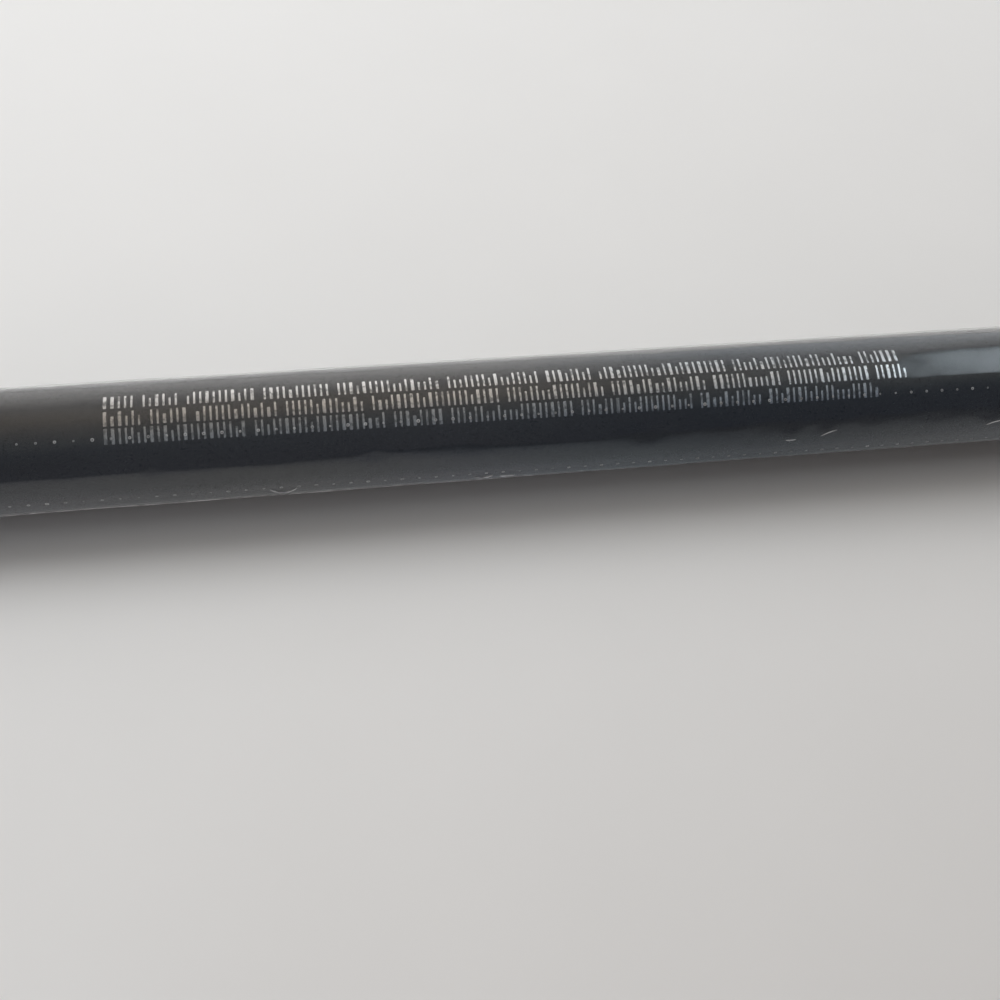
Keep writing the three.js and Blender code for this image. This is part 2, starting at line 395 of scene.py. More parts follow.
@dataclass(frozen=True)
class SilverPrint:
    """Thin metallic ink, flecked where the film has rubbed it, with painted shade that makes it darker
    towards the tail's near side.

    The painted light slope says how much lighter the ink is painted for each millimetre along X and Y, from
    the painted shade to the ink's own colour.
    """

    name: str
    colour: Colour = (0.81, 0.80, 0.79)
    shaded_colour: Colour = (0.42, 0.41, 0.40)
    wear: float = 0.35
    wear_ends: tuple[float, float] = (0.36, 0.5)
    wear_depth: float = 0.004
    fleck: float = 0.42
    roughness: tuple[float, float] = (0.26, 0.16)
    light_slope: tuple[float, float] = (0.021, 0.41)
    shaded_end: float = -1.17
    lit_end: float = -0.17

    def material(self) -> bpy.types.Material:
        """Build the material.

        Returns:
            The material, with its nodes.
        """
        shader = Shader(self.name)
        wear = shader.speckle(self.wear, detail=4.0)
        flecks = shader.blend(wear, grey(self.fleck), grey(1.0), self.wear_ends)
        # Painted light and shade: the ink darkens towards the tail and the near side and lightens to its
        # own colour towards the cap and the far side.
        slope = Vector((*self.light_slope, 0.0)) / MM
        light_falloff = shader.add("ShaderNodeVectorMath", {0: shader.coordinates, 1: slope}, operation="DOT_PRODUCT")
        tone = shader.scale(light_falloff.outputs["Value"], ((self.shaded_end, self.shaded_colour), (self.lit_end, self.colour)))
        surface = shader.surface(
            Base_Color=shader.product(tone, flecks),
            Metallic=1.0,
            Roughness=shader.range(wear, *self.roughness),
            Normal=shader.bump(wear, self.wear_depth),
        )
        return shader.finish(surface.outputs["BSDF"])


@dataclass(frozen=True)
class Wax:
    """Pressed colour wax with a soft sheen and fine drag marks along its length."""

    name: str
    colour: Colour
    roughness: float
    drag: float = 0.12
    drag_stretch: float = 14.0
    drag_depth: float = 0.012
    unevenness: float = 0.2
    bloom: float = 0.7
    bloom_ends: tuple[float, float] = (0.35, 0.7)
    bloom_gain: float = 2.2
    softness: float = 0.05
    soft_depth: float = 0.3

    def material(self) -> bpy.types.Material:
        """Build the material.

        Returns:
            The material, with its nodes.
        """
        shader = Shader(self.name)
        drag = shader.speckle(self.drag, stretch=self.drag_stretch)
        bloom = shader.speckle(self.bloom)
        bloomed = scaled(self.colour, self.bloom_gain)
        surface = shader.surface(
            Base_Color=shader.blend(bloom, self.colour, bloomed, self.bloom_ends),
            Roughness=shader.around(drag, self.roughness, self.unevenness),
            Subsurface_Weight=self.softness,
            Subsurface_Scale=self.soft_depth * MM,
            Normal=shader.bump(drag, self.drag_depth),
        )
        return shader.finish(surface.outputs["BSDF"])


@dataclass(frozen=True)
class PlainCard:
    """Plain dull card or cloth, which the pencil lies on or is shaded by."""

    name: str
    colour: Colour
    roughness: float = 0.75
    cloud: float = 14.0
    darker: float = 0.985

    def material(self) -> bpy.types.Material:
        """Build the material.

        Returns:
            The material, with its nodes.
        """
        shader = Shader(self.name)
        cloud = shader.speckle(self.cloud, detail=2.0)
        tone = shader.blend(cloud, scaled(self.colour, self.darker), self.colour)
        surface = shader.surface(Base_Color=tone, Roughness=self.roughness)
        return shader.finish(surface.outputs["BSDF"])


@dataclass(frozen=True)
class MirrorCard:
    """Card that glows as a painted reflection of the floor in the film, as dimly as the floor should look
    there, with painted shadow close before the pencil.

    near and far are millimetres before the pencil, and along is millimetres towards its cap.
    skew is how much sooner far begins for each step along.
    """

    name: str
    # Painted shadow: the floor's reflection is painted dark close before the pencil and lighter away from
    # it.
    near: Stops = (
        (2.5, grey(0.115)),
        (3.4, grey(0.17)),
        (4.4, grey(0.255)),
        (5.0, grey(0.335)),
        (5.7, grey(0.39)),
        (7.7, grey(0.465)),
        (11.4, grey(0.53)),
    )
    # Painted reflection: bright floor a little before the pencil, fading to a dim band far off.
    far: Stops = (
        (8.0, grey(1.0)),
        (19.0, (0.89, 0.90, 0.93)),
        (33.0, (0.72, 0.74, 0.79)),
        (62.0, (0.37, 0.39, 0.44)),
        (108.0, (0.31, 0.33, 0.39)),
    )
    along: Stops = (
        (-44.0, (1.0, 1.0, 1.03)),
        (-24.0, grey(1.0)),
        (-11.0, (0.90, 0.93, 1.0)),
        (-2.0, (0.78, 0.85, 0.91)),
        (8.0, (0.68, 0.73, 0.78)),
        (20.0, (0.79, 0.81, 0.82)),
        (36.0, grey(0.91)),
    )
    skew: float = 0.4

    def material(self) -> bpy.types.Material:
        """Build the material.

        Returns:
            The material, with its nodes.
        """
        shader = Shader(self.name)
        place = shader.add("ShaderNodeSeparateXYZ", {0: shader.coordinates})
        before = shader.math("MULTIPLY", place.outputs["Y"], -1.0)
        skewed = shader.math("ADD", before, shader.math("MULTIPLY", place.outputs["X"], self.skew))
        tone = shader.product(shader.scale(before, self.near, MM), shader.scale(skewed, self.far, MM))
        tone = shader.product(tone, shader.scale(place.outputs["X"], self.along, MM))
        return shader.finish(shader.add("ShaderNodeEmission", {"Color": tone}).outputs["Emission"])


class Finish(Enum):
    """Finishes of the pencil's surfaces and of the cards round it."""

    BARREL = MouldedPlastic("barrel_lacquer", NEAR_BLACK, 0.3, gloss=0.3)
    CAP = MouldedPlastic("cap_gloss", NEAR_BLACK, 0.24, coat=0.4)
    KNOB = MouldedPlastic("knob_gloss", NEAR_BLACK, 0.26, coat=0.4)
    NOZZLE = MouldedPlastic("nozzle_matte", (0.018, 0.018, 0.02), 0.48, grain=0.08, grain_depth=0.006)
    PLUG = MouldedPlastic("shade_plug_matte", (0.02, 0.018, 0.02), 0.5, grain_depth=0.006)
    NATURAL = MouldedPlastic("undyed_plastic", (0.7, 0.69, 0.64), 0.5, mottle=0.04)
    CARRIER = MouldedPlastic("ivory_plastic", (0.78, 0.76, 0.7), 0.42, mottle=0.03)
    RUBBER = MouldedPlastic("soft_rubber", grey(0.025), 0.7, grain=0.06, grain_depth=0.01)
    FILM = ClearFilm("clear_film")
    PINHOLE = StressedFilm("melted_rim", (0.52, 0.53, 0.54), 0.3)
    CREASE = StressedFilm("folded_film", grey(0.8), 0.2, glint=0.35)
    PRINT = SilverPrint("silver_print")
    LEAD = Wax("black_wax", (0.006, 0.006, 0.008), 0.45)
    FLOOR = PlainCard("pale_card", (0.80, 0.80, 0.795))
    FLAG = PlainCard("black_cloth", grey(0.05))
    MIRRORED = MirrorCard("painted_reflection_card")

    @functools.cache
    def material(self) -> bpy.types.Material:
        """The finish's material, made the first time that it is asked for."""
        return self.value.material()


@dataclass(frozen=True)
class Corner:
    """A corner of a turned outline, with the radius that it is rounded by."""

    radius: float
    station: float
    round: float = 0.0


def rounded_outline(corners: Sequence[Corner], closed: bool) -> list[tuple[float, float]]:
    """Turn corners into outline points, with an arc at each rounded one.

    Args:
        corners: The corners in order, outer side towards the cap.
        closed: Whether the last corner joins the first.

    Returns:
        Points as (radius, station).
    """
    points: list[tuple[float, float]] = []
    last = len(corners) - 1
    for index, corner in enumerate(corners):
        here = Vector((corner.radius, corner.station))
        at_end = not closed and index in (0, last)
        if corner.round <= 0 or at_end:
            points.append(tuple(here))
            continue
        before = corners[index - 1]
        after = corners[(index + 1) % len(corners)]
        back = (Vector((before.radius, before.station)) - here).normalized()
        ahead = (Vector((after.radius, after.station)) - here).normalized()
        half = back.angle(ahead) / 2
        centre = here + (back + ahead).normalized() * (corner.round / math.sin(half))
        start = here + back * (corner.round / math.tan(half)) - centre
        end = here + ahead * (corner.round / math.tan(half)) - centre
        sweep = start.angle_signed(end)
        for step in range(ARC_STEPS + 1):
            spoke = Vector(start)
            spoke.rotate(Matrix.Rotation(-sweep * step / ARC_STEPS, 2))
            points.append(tuple(centre + spoke))
    return points


def new_object(
    name: str, points: Sequence[Any], edges: Sequence[Any] = (), faces: Sequence[Any] = ()
) -> bpy.types.Object:
    """Make a mesh object at the origin and link it to the scene.

    Args:
        name: Name of the object.
        points: Its points, in metres.
        edges: Pairs of points, for lines.
        faces: Rings of points.

    Returns:
        The object.
    """
    mesh = bpy.data.meshes.new(name)
    mesh.from_pydata(points, edges, faces)
    mesh.validate()
    piece = bpy.data.objects.new(name, mesh)
    bpy.context.scene.collection.objects.link(piece)
    return piece


def smooth(piece: bpy.types.Object) -> None:
    """Shade a piece smooth, with its hard edges kept."""
    piece.data.shade_smooth()
    piece.data.set_sharp_from_angle(angle=SHARP_ANGLE)


def turned(name: str, corners: Sequence[Corner], closed: bool, axis: Axis) -> bpy.types.Object:
    """Make a round piece about the centre line.

    Args:
        name: Name of the piece.
        corners: Its outline, outer side towards the cap.
        closed: Whether the outline closes on itself, as a tube's does, or ends on the centre line.
        axis: The pencil's centre line.

    Returns:
        The piece, without a material.
    """
    outline = rounded_outline(corners, closed)
    points: list[Vector] = []
    rings: list[list[int]] = []
    for radius, station in outline:
        first = len(points)
        if radius < ON_AXIS:
            points.append(axis.point(station, 0.0, 0.0))
            rings.append([first] * SEGMENTS)
            continue
        points.extend(axis.point(station, radius, 360 * step / SEGMENTS) for step in range(SEGMENTS))
        rings.append(list(range(first, first + SEGMENTS)))
    if closed:
        rings.append(rings[0])
    faces = []
    for rear, front in zip(rings, rings[1:]):
        for step in range(SEGMENTS):
            beside = (step + 1) % SEGMENTS
            face = tuple(dict.fromkeys((rear[step], front[step], front[beside], rear[beside])))
            if len(face) > 2:
                faces.append(face)
    piece = new_object(name, points, faces=faces)
    smooth(piece)
    return piece


@dataclass(frozen=True)
class Place:
    """How a finished piece is tied to the frame."""

    body: str
    finish: Finish
    slot: str | None = None
    nodes: tuple[str, ...] = ()

    def settle(self, piece: bpy.types.Object) -> None:
        """Give a piece its material if it has none, its body and the nodes that it stands for.

        Args:
            piece: The finished piece.
        """
        if not piece.data.materials:
            piece.data.materials.append(self.finish.material())
        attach(piece, self.body)
        if self.nodes:
            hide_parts(*self.nodes)
        LOG.info("%s rides on %s: %d faces", piece.name, self.body, len(piece.data.polygons))


class Motif(Enum):
    """Small shapes that are repeated on a round surface."""

    PINHOLE_RIM = "pinhole_rim"
    PRINT_BAR = "print_bar"
    GRIP_RIB = "grip_rib"


class GeometryTree(NodeBuilder):
    """A Geometry Nodes tree with named inputs, a finish among them, that makes one painted mesh."""

    def __init__(self, name: str, inputs: Mapping[str, str]) -> None:
        """Make the tree with its sockets.

        Args:
            name: Name of the tree.
            inputs: Kind of each input, by its name.
        """
        super().__init__(bpy.data.node_groups.new(name, "GeometryNodeTree"))
        for label, kind in inputs.items():
            self.tree.interface.new_socket(name=label, in_out="INPUT", socket_type=f"NodeSocket{kind}")
        self.tree.interface.new_socket(name="Mesh", in_out="OUTPUT", socket_type="NodeSocketGeometry")
        self.given = self.add("NodeGroupInput").outputs

    def deliver(self, geometry: Socket) -> None:
        """Paint a geometry with the finish and link it to the tree's output.

        Args:
            geometry: The finished geometry.
        """
        inputs = {"Geometry": geometry, "Material": self.given["Finish"]}
        painted = self.add("GeometryNodeSetMaterial", inputs)
        self.add("NodeGroupOutput", {"Mesh": painted.outputs["Geometry"]})

    def apply(self, piece: bpy.types.Object, values: Mapping[str, Any]) -> None:
        """Run the tree on a piece and keep what it makes as the piece's plain, smooth mesh.

        Args:
            piece: Points or lines that the tree starts from.
            values: Values of the tree's inputs, by name.
        """
        modifier = piece.modifiers.new(self.tree.name, "NODES")
        modifier.node_group = self.tree
        for item in self.tree.interface.items_tree:
            if item.name in values:
                modifier[item.identifier] = values[item.name]
        bpy.context.view_layer.update()
        evaluated = piece.evaluated_get(bpy.context.evaluated_depsgraph_get())
        mesh = bpy.data.meshes.new_from_object(evaluated)
        piece.modifiers.clear()
        piece.data = mesh
        smooth(piece)


@dataclass(frozen=True)
class SurfacePattern:
    """Geometry Nodes that stand a motif on points of an unrolled surface and roll them round the pencil."""

    motif: Motif
    radius: float
    spread: float = 0.0
    seed: int = 7

    SIZE = "motif_size"

    def motif_nodes(self, nodes: NodeBuilder) -> Socket:
        """Add the nodes of the motif, one unit across.

        Args:
            nodes: The tree to add them to.

        Returns:
            The motif's mesh.
        """
        if self.motif is Motif.PINHOLE_RIM:
            ring = nodes.add("GeometryNodeCurvePrimitiveCircle", {"Resolution": 10, "Radius": 0.38})
            wire = nodes.add("GeometryNodeCurvePrimitiveCircle", {"Resolution": 5, "Radius": 0.16})
            sweep = nodes.add(
                "GeometryNodeCurveToMesh",
                {"Curve": ring.outputs["Curve"], "Profile Curve": wire.outputs["Curve"]},
            )
            return sweep.outputs["Mesh"]
        if self.motif is Motif.PRINT_BAR:
            inputs = {"Size": (1.0, 1.0, 1.0), "Vertices X": 2, "Vertices Y": 5, "Vertices Z": 2}
            return nodes.add("GeometryNodeMeshCube", inputs).outputs["Mesh"]
        ball = nodes.add("GeometryNodeMeshUVSphere", {"Segments": 8, "Rings": 8, "Radius": 0.5})
        turn = {"Geometry": ball.outputs["Mesh"], "Rotation": (0.0, math.pi / 2, 0.0)}
        return nodes.add("GeometryNodeTransform", turn).outputs["Geometry"]

    def tree(self) -> GeometryTree:
        """Build the node tree, with its sizes as named inputs.

        Returns:
            The tree.
        """
        inputs = {
            "Points": "Geometry",
            "Roll Radius": "Float",
            "Axis Height": "Float",
            "Size Spread": "Float",
            "Seed": "Int",
            "Finish": "Material",
        }
        nodes = GeometryTree(f"{self.motif.value}_pattern", inputs)
        given = nodes.given
        size = nodes.add("GeometryNodeInputNamedAttribute", {"Name": self.SIZE}, data_type="FLOAT_VECTOR")
        draw = nodes.add(
            "FunctionNodeRandomValue",
            {
                "Min": nodes.math("SUBTRACT", 1.0, given["Size Spread"]),
                "Max": nodes.math("ADD", 1.0, given["Size Spread"]),
                "Seed": given["Seed"],
            },
            data_type="FLOAT",
        )
        drawn = next(output for output in draw.outputs if output.enabled)
        grown = nodes.add("ShaderNodeVectorMath", {0: size.outputs["Attribute"]}, operation="SCALE")
        nodes.feed(grown.inputs["Scale"], drawn)
        copies = nodes.add(
            "GeometryNodeInstanceOnPoints",
            {
                "Points": given["Points"],
                "Instance": self.motif_nodes(nodes),
                "Scale": grown.outputs["Vector"],
            },
        )
        real = nodes.add("GeometryNodeRealizeInstances", {"Geometry": copies.outputs["Instances"]})
        spot = nodes.add("ShaderNodeSeparateXYZ", {0: nodes.add("GeometryNodeInputPosition").outputs[0]})
        angle = nodes.math("DIVIDE", spot.outputs["Y"], given["Roll Radius"])
        reach = nodes.math("ADD", spot.outputs["Z"], given["Roll Radius"])
        side = nodes.math("MULTIPLY", nodes.math("MULTIPLY", reach, nodes.math("COSINE", angle)), -1.0)
        rise = nodes.math("MULTIPLY", reach, nodes.math("SINE", angle))
        rolled = nodes.add(
            "ShaderNodeCombineXYZ",
            {"X": spot.outputs["X"], "Y": side, "Z": nodes.math("ADD", rise, given["Axis Height"])},
        )
        inputs = {"Geometry": real.outputs["Geometry"], "Position": rolled.outputs["Vector"]}
        nodes.deliver(nodes.add("GeometryNodeSetPosition", inputs).outputs["Geometry"])
        return nodes

    def build(
        self, name: str, spots: Sequence[Vector], sizes: Sequence[Vector], axis: Axis, finish: Finish
    ) -> bpy.types.Object:
        """Make the pattern as one plain mesh.

        Args:
            name: Name of the piece.
            spots: Places of the copies on the unrolled surface, in metres.
            sizes: Size of each copy along, around and off the surface, in millimetres.
            axis: The pencil's centre line.
            finish: Finish of the copies.

        Returns:
            The piece, with its material.
        """
        piece = new_object(name, spots)
        attribute = piece.data.attributes.new(self.SIZE, "FLOAT_VECTOR", "POINT")
        attribute.data.foreach_set("vector", [part * MM for size in sizes for part in size])
        values = {
            "Roll Radius": self.radius * MM,
            "Axis Height": axis.height,
            "Size Spread": self.spread,
            "Seed": self.seed,
            "Finish": finish.material(),
        }
        self.tree().apply(piece, values)
        return piece


@dataclass(frozen=True)
class Bump:
    """A spot where the film stands off the barrel, or is drawn down to it where the height is negative.

    Beyond FAR, as the square of the distance in lengths and widths, nothing is left of it.
    """

    station: float
    angle: float
    length: float
    width: float
    height: float

    FAR = 12.0

    def lift(self, station: float, angle: float, radius: float) -> float:
        """How far the film is lifted by the bump at a place.

        Args:
            station: Station of the place.
            angle: Angle of the place.
            radius: Radius of the film.

        Returns:
            The lift, negative where the film is drawn down.
        """
        along = (station - self.station) / self.length
        around = math.radians((angle - self.angle + 180) % 360 - 180) * radius / self.width
        reach = along * along + around * around
        return self.height * math.exp(-reach) if reach < self.FAR else 0.0


@dataclass(frozen=True)
class FilmRelief:
    """The film's soft ripples and its bumps."""

    radius: float
    ripple: float = 0.022
    ripple_length: float = 6.0
    ripple_squeeze: float = 4.0
    crinkle: float = 0.012
    crinkle_length: float = 0.9
    crinkle_stretch: float = 2.2
    lowest: float = -0.07
    highest: float = 0.03
    bumps: tuple[Bump, ...] = ()

    @property
    def base(self) -> float:
        """Radius of the film where it isn't lifted, which keeps its highest places within its node."""
        return self.radius - self.highest

    def lift(self, station: float, angle: float) -> float:
        """How far the film is lifted at a place, from its ripples and bumps.

        Args:
            station: Station of the place.
            angle: Angle of the place.

        Returns:
            The lift, held between the lowest and the highest.
        """
        turn = math.radians(angle)
        ring = (self.radius * math.cos(turn), self.radius * math.sin(turn))
        squeezed = Vector((station, ring[0] * self.ripple_squeeze, ring[1] * self.ripple_squeeze))
        long_wave = noise.noise(squeezed / self.ripple_length)
        stretched = Vector((station / self.crinkle_stretch, ring[0], ring[1]))
        short_wave = noise.noise(stretched / self.crinkle_length)
        raised = sum(bump.lift(station, angle, self.radius) for bump in self.bumps)
        lift = self.ripple * long_wave + self.crinkle * short_wave + raised
        return min(self.highest, max(self.lowest, lift))


@dataclass(frozen=True)
class FilmSheet:
    """A tight sleeve of film as a thin closed shell."""

    relief: FilmRelief
    wall: float
    rows: int
    columns: int = 176

    def build(
        self, name: str, outline: Callable[[float, float], tuple[float, float]], axis: Axis
    ) -> bpy.types.Object:
        """Make the shell.

        Args:
            name: Name of the piece.
            outline: Gives the radius and station of the film at a share of its length and an angle.
            axis: The pencil's centre line.

        Returns:
            The piece, without a material.
        """
        skin = []
        for row in range(self.rows + 1):
            for column in range(self.columns):
                angle = 360 * column / self.columns
                radius, station = outline(row / self.rows, angle)
                skin.append((station, radius + self.relief.lift(station, angle), angle))
        points = [
            axis.point(station, radius - wall, angle)
            for wall in (0.0, self.wall)
            for station, radius, angle in skin
        ]
        inner = (self.rows + 1) * self.columns
        faces = []
        for column in range(self.columns):
            beside = (column + 1) % self.columns
            for row in range(self.rows):
                here = row * self.columns
                ahead = here + self.columns
                outer_face = (here + column, ahead + column, ahead + beside, here + beside)
                faces.append(outer_face)
                faces.append(tuple(inner + corner for corner in reversed(outer_face)))
            end = self.rows * self.columns
            faces.append((column, beside, inner + beside, inner + column))
            faces.append((end + beside, end + column, inner + end + column, inner + end + beside))
        piece = new_object(name, points, faces=faces)
        smooth(piece)
        return piece


@dataclass(frozen=True)
class Drape:
    """A place where the film sags on the near side: a hollow, a steep flank below it and a lip.

    PARTS gives these three by their angle, share of the length, width and height.
    """

    station: float
    length: float

    PARTS = ((30.0, 1.1, 0.8, -0.06), (22.0, 1.0, 0.45, -0.033), (10.0, 0.93, 0.4, 0.029))

    def bumps(self) -> tuple[Bump, ...]:
        """The bumps that the sag is made of."""
        parts = self.PARTS
        return tuple(Bump(self.station, part[0], part[1] * self.length, *part[2:]) for part in parts)


@dataclass(frozen=True)
class PinholeRow:
    """A row of perforations along the film, which drifts a little round the pencil."""

    rear_angle: float
    front_angle: float
    pitch: float = 1.093
    size: float = 0.16
    height: float = 0.07

    def spots(
        self, rear: float, front: float, drift: tuple[float, float], relief: FilmRelief, axis: Axis
    ) -> list[Vector]:
        """Places of the pinholes on the unrolled film.

        Args:
            rear: Station of the first pinhole.
            front: Station that the row stops at.
            drift: Stations at which the row has its rear and its front angle.
            relief: The film's relief.
            axis: The pencil's centre line.

        Returns:
            The places, in metres.
        """
        found = []
        for index in range(int((front - rear) / self.pitch) + 1):
            station = rear + index * self.pitch
            share = (station - drift[0]) / (drift[1] - drift[0])
            angle = self.rear_angle + share * (self.front_angle - self.rear_angle)
            found.append(axis.flat(station, angle, relief.base, relief.lift(station, angle)))
        return found


@dataclass(frozen=True)
class Crease:
    """A short sharp fold in the film: a shallow arc on its surface."""

    station: float
    angle: float
    length: float
    sag: float
    thickness: float
    slant: float = 0.0


@dataclass
class Casing:
    """The barrel and the twist end, with the plug in its tail."""

    axis: Axis
    bore: float = 3.27
    edge: float = 0.15
    rib_count: int = 36
    rib_width: float = 0.34
    rib_height: float = 0.13
    rib_margin: float = 4.0
    groove_depth: float = 0.12
    groove_width: float = 0.5
    groove_inset: float = 1.2
    groove_round: float = 0.05
    plug_gap: float = 0.04
    plug_gap_round: float = 0.06
    plug_rim: float = 0.12
    plug_dish: float = 0.06
    plug_inset: float = 0.48
    plug_rounds: tuple[float, ...] = (0.05, 0.02, 0.03, 0.03)
    plug_edge: float = 0.1

    def barrel(self) -> None:
        """Build and dress the barrel tube."""
        span = Span.of("barrel", self.axis)
        corners = (
            Corner(self.bore, span.rear),
            Corner(span.radius, span.rear, self.edge),
            Corner(span.radius, span.front, self.edge),
            Corner(self.bore, span.front),
        )
        piece = turned("barrel_tube", corners, True, self.axis)
        Place("barrel", Finish.BARREL, "barrel_black", ("barrel",)).settle(piece)

    def knob(self) -> None:
        """Build and dress the twist end and its grip ribs."""
        span = Span.of("twist_knob", self.axis)
        plug = Span.of("end_plug", self.axis)
        groove_front = span.front - self.groove_inset
        groove_rear = groove_front - self.groove_width
        groove_radius = span.radius - self.groove_depth
        corners = (
            Corner(0.0, plug.front),
            Corner(plug.radius + self.plug_gap, plug.front),
            Corner(plug.radius + self.plug_gap, span.rear, self.plug_gap_round),
            Corner(span.radius, span.rear, self.edge),
            Corner(span.radius, groove_rear, self.groove_round),
            Corner(groove_radius, groove_rear, self.groove_round),
            Corner(groove_radius, groove_front, self.groove_round),
            Corner(span.radius, groove_front, self.groove_round),
            Corner(span.radius, span.front, self.edge),
            Corner(0.0, span.front),
        )
        piece = turned("twist_end", corners, False, self.axis)
        Place("twist_base", Finish.KNOB, "barrel_black", ("twist_knob",)).settle(piece)
        length = groove_rear - 2 * self.rib_margin
        middle = self.rib_margin + length / 2
        angles = [360 * index / self.rib_count for index in range(self.rib_count)]
        spots = [self.axis.flat(middle, angle, span.radius) for angle in angles]
        sizes = [Vector((length, self.rib_width, self.rib_height))] * self.rib_count
        pattern = SurfacePattern(Motif.GRIP_RIB, span.radius)
        ribs = pattern.build("twist_end_ribs", spots, sizes, self.axis, Finish.KNOB)
        Place("twist_base", Finish.KNOB, "barrel_black").settle(ribs)

    def plug(self) -> None:
        """Build and dress the shade plug, with a shallow step round its flat face."""
        span = Span.of("end_plug", self.axis)
        inner = span.radius - self.plug_inset
        outer = inner + self.plug_rim
        dished = span.rear + self.plug_dish
        rounds = self.plug_rounds
        corners = (
            Corner(0.0, span.rear),
            Corner(inner - self.plug_dish, span.rear, rounds[0]),
            Corner(inner, dished, rounds[1]),
            Corner(outer, dished, rounds[2]),
            Corner(outer + self.plug_dish, span.rear, rounds[3]),
            Corner(span.radius, span.rear, self.plug_edge),
            Corner(span.radius, span.front),
            Corner(0.0, span.front),
        )
        piece = turned("shade_plug", corners, False, self.axis)
        Place("twist_base", Finish.PLUG, "shade_plug", ("end_plug",)).settle(piece)


@dataclass
class Front:
    """The nozzle and the lead that is turned out of it."""

    axis: Axis
    mouth_bore: float = 1.5
    insert_radius: float = 3.2
    flange_length: float = 0.8
    neck_radius: float = 2.72
    neck_length: float = 7.15
    bead_height: float = 0.04
    bead_length: float = 1.0
    cone_length: float = 10.0
    mouth_wall: float = 0.45
    bore_radius: float = 1.8
    bore_depth: float = 9.4
    seat_radius: float = 2.65
    seat_depth: float = 4.3
    flange_round: float = 0.12
    neck_foot_round: float = 0.15
    bead_round: float = 0.2
    cone_round: float = 1.5
    tip_round: float = 0.25
    mouth_round: float = 0.12
    lead_tip_length: float = 2.4
    lead_tip_radius: float = 0.4
    lead_tip_round: float = 0.28
    lead_cone_round: float = 0.8
    lead_end_round: float = 0.1

    def nozzle(self) -> None:
        """Build and dress the nozzle, hollow for the lead, its carrier and the guide tube's flange."""
        span = Span.of("nozzle", self.axis)
        neck_front = span.front - self.cone_length
        flange_front = neck_front - self.neck_length
        flange_rear = flange_front - self.flange_length
        bead = (flange_front + neck_front) / 2
        half_bead = self.bead_length / 2
        bore_front = span.front - self.bore_depth
        seat = span.rear + self.seat_depth
        corners = (
            Corner(self.seat_radius, span.rear),
            Corner(self.insert_radius, span.rear),
            Corner(self.insert_radius, flange_rear),
            Corner(span.radius, flange_rear, self.flange_round),
            Corner(span.radius, flange_front, self.flange_round),
            Corner(self.neck_radius, flange_front, self.neck_foot_round),
            Corner(self.neck_radius, bead - half_bead, self.bead_round),
            Corner(self.neck_radius + self.bead_height, bead, self.bead_round),
            Corner(self.neck_radius, bead + half_bead, self.bead_round),
            Corner(self.neck_radius, neck_front, self.cone_round),
            Corner(self.mouth_bore + self.mouth_wall, span.front, self.tip_round),
            Corner(self.mouth_bore, span.front, self.mouth_round),
            Corner(self.mouth_bore, bore_front + self.bore_radius - self.mouth_bore),
            Corner(self.bore_radius, bore_front),
            Corner(self.bore_radius, seat),
            Corner(self.seat_radius, seat),
        )
        piece = turned("nozzle_body", corners, True, self.axis)
        Place("barrel", Finish.NOZZLE, "nozzle_black", ("nozzle",)).settle(piece)

    def lead(self) -> None:
        """Build and dress the wax lead."""
        span = Span.of("lead", self.axis)
        corners = (
            Corner(0.0, span.rear),
            Corner(span.radius, span.rear, self.lead_end_round),
            Corner(span.radius, span.front - self.lead_tip_length, self.lead_cone_round),
            Corner(self.lead_tip_radius, span.front, self.lead_tip_round),
            Corner(0.0, span.front),
        )
        piece = turned("lead_stick", corners, False, self.axis)
        Place("lead_carriage", Finish.LEAD, "wax_lead", ("lead",)).settle(piece)


@dataclass
class Cap:
    """The pull-off cap with its inner sleeve."""

    axis: Axis
    bore: float = 3.17
    end_wall: float = 1.4
    shoulder: float = 1.2
    edge: float = 0.15
    bore_edge: float = 0.1
    hollow_round: float = 0.5
    sleeve_bore: float = 2.83
    sleeve_edge: float = 0.08

    def shell(self) -> None:
        """Build and dress the cap."""
        span = Span.of("cap_shell", self.axis)
        hollow_end = span.front - self.end_wall
        corners = (
            Corner(0.0, hollow_end),
            Corner(self.bore, hollow_end, self.hollow_round),
            Corner(self.bore, span.rear, self.bore_edge),
            Corner(span.radius, span.rear, self.edge),
            Corner(span.radius, span.front, self.shoulder),
            Corner(0.0, span.front),
        )
        piece = turned("cap_body", corners, False, self.axis)
        Place("cap", Finish.CAP, "cap_black", ("cap_shell",)).settle(piece)

    def sleeve(self) -> None:
        """Build and dress the sleeve that grips the nozzle's neck."""
        span = Span.of("cap_liner", self.axis)
        corners = (
            Corner(self.sleeve_bore, span.rear, self.bore_edge),
            Corner(span.radius, span.rear, self.sleeve_edge),
            Corner(span.radius, span.front, self.sleeve_edge),
            Corner(self.sleeve_bore, span.front, self.bore_edge),
        )
        piece = turned("cap_sleeve", corners, True, self.axis)
        Place("cap", Finish.NATURAL, "natural_plastic", ("cap_liner",)).settle(piece)


